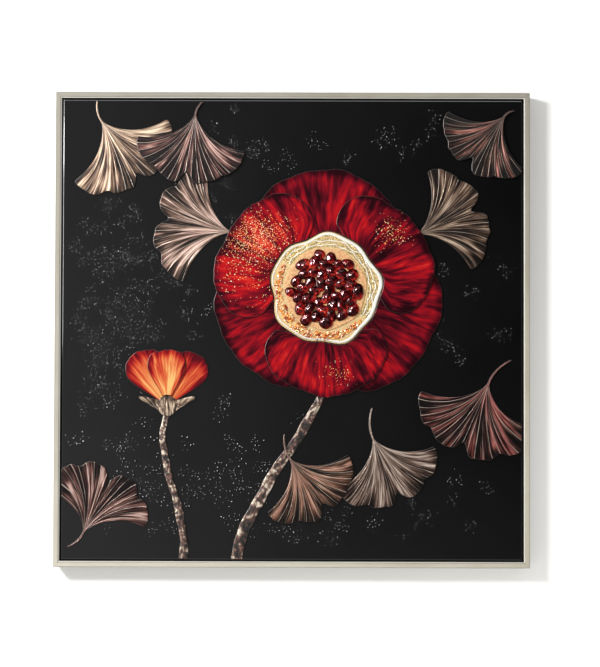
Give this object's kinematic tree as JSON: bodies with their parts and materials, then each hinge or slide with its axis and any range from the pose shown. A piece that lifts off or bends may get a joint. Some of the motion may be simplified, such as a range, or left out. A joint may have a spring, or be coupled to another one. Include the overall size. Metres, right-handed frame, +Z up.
{
  "type": "framed relief wall panel",
  "caption": "Square wall picture: a slim metallic frame round a gloss black panel with raised cut-out flower, bud, stems and fan leaves, glass chips in the bloom, hung on sawtooth hangers.",
  "frame": {"origin": "middle of the rear plane, on the flush rear face of the centre brace", "axes": "+X to the viewer's right, +Z up, -Y out of the picture towards the viewer, +Y into the wall"},
  "size_m": [1, 0.058, 1],
  "materials": {
    "champagne_leaf": "satin champagne-silver metal leaf on a wooden moulding",
    "black_lacquer": "gloss black lacquer on fibreboard",
    "pine": "planed, unfinished",
    "zinc_steel": "zinc plated",
    "felt": "soft dark bumper pad",
    "deep_red_lacquer": "streaky deep red paint under clear gloss",
    "red_lacquer": "streaky crimson paint under clear gloss",
    "cream_paste": "cream relief paste",
    "garnet_glass": "polished garnet glass chips",
    "amber_glass": "crushed orange-gold glass",
    "coral_lacquer": "coral red paint under clear gloss",
    "orange_lacquer": "orange paint under clear gloss",
    "bark_foil": "mottled brown lacquer on metal",
    "bronze_foil": "ground metal with a bronze tint",
    "taupe_foil": "ground metal with a taupe tint",
    "rose_foil": "ground metal with a rose-brown tint"
  },
  "bodies": {
    "root": {"frame_rail_bottom": "champagne_leaf", "frame_rail_right": "champagne_leaf", "frame_rail_top": "champagne_leaf", "frame_rail_left": "champagne_leaf", "front_panel": "black_lacquer", "batten_bottom": "pine", "batten_right": "pine", "batten_top": "pine", "batten_left": "pine", "centre_brace": "pine", "ledge_screw_bottom_1": "zinc_steel", "ledge_screw_bottom_2": "zinc_steel", "ledge_screw_right_1": "zinc_steel", "ledge_screw_right_2": "zinc_steel", "ledge_screw_top_1": "zinc_steel", "ledge_screw_top_2": "zinc_steel", "ledge_screw_left_1": "zinc_steel", "ledge_screw_left_2": "zinc_steel", "hanger_left": "zinc_steel", "hanger_right": "zinc_steel", "hanger_screw_1": "zinc_steel", "hanger_screw_2": "zinc_steel", "hanger_screw_3": "zinc_steel", "hanger_screw_4": "zinc_steel", "bumper_left": "felt", "bumper_right": "felt", "lower_petal_1": "deep_red_lacquer", "lower_petal_2": "deep_red_lacquer", "lower_petal_3": "deep_red_lacquer", "upper_petal_1": "red_lacquer", "upper_petal_2": "red_lacquer", "upper_petal_3": "red_lacquer", "centre_disc": "cream_paste", "garnet_chips": "garnet_glass", "amber_splinters": "amber_glass", "bud_petal_left": "coral_lacquer", "bud_petal_right": "coral_lacquer", "bud_petal_middle": "orange_lacquer", "bud_calyx": "bronze_foil", "bloom_stem": "bark_foil", "bud_stem": "bark_foil", "leaf_1": "bronze_foil", "leaf_2": "rose_foil", "leaf_3": "taupe_foil", "leaf_4": "bronze_foil", "leaf_5": "rose_foil", "leaf_6": "taupe_foil", "leaf_7": "bronze_foil", "leaf_8": "rose_foil", "leaf_9": "taupe_foil"}
  },
  "joints": []
}
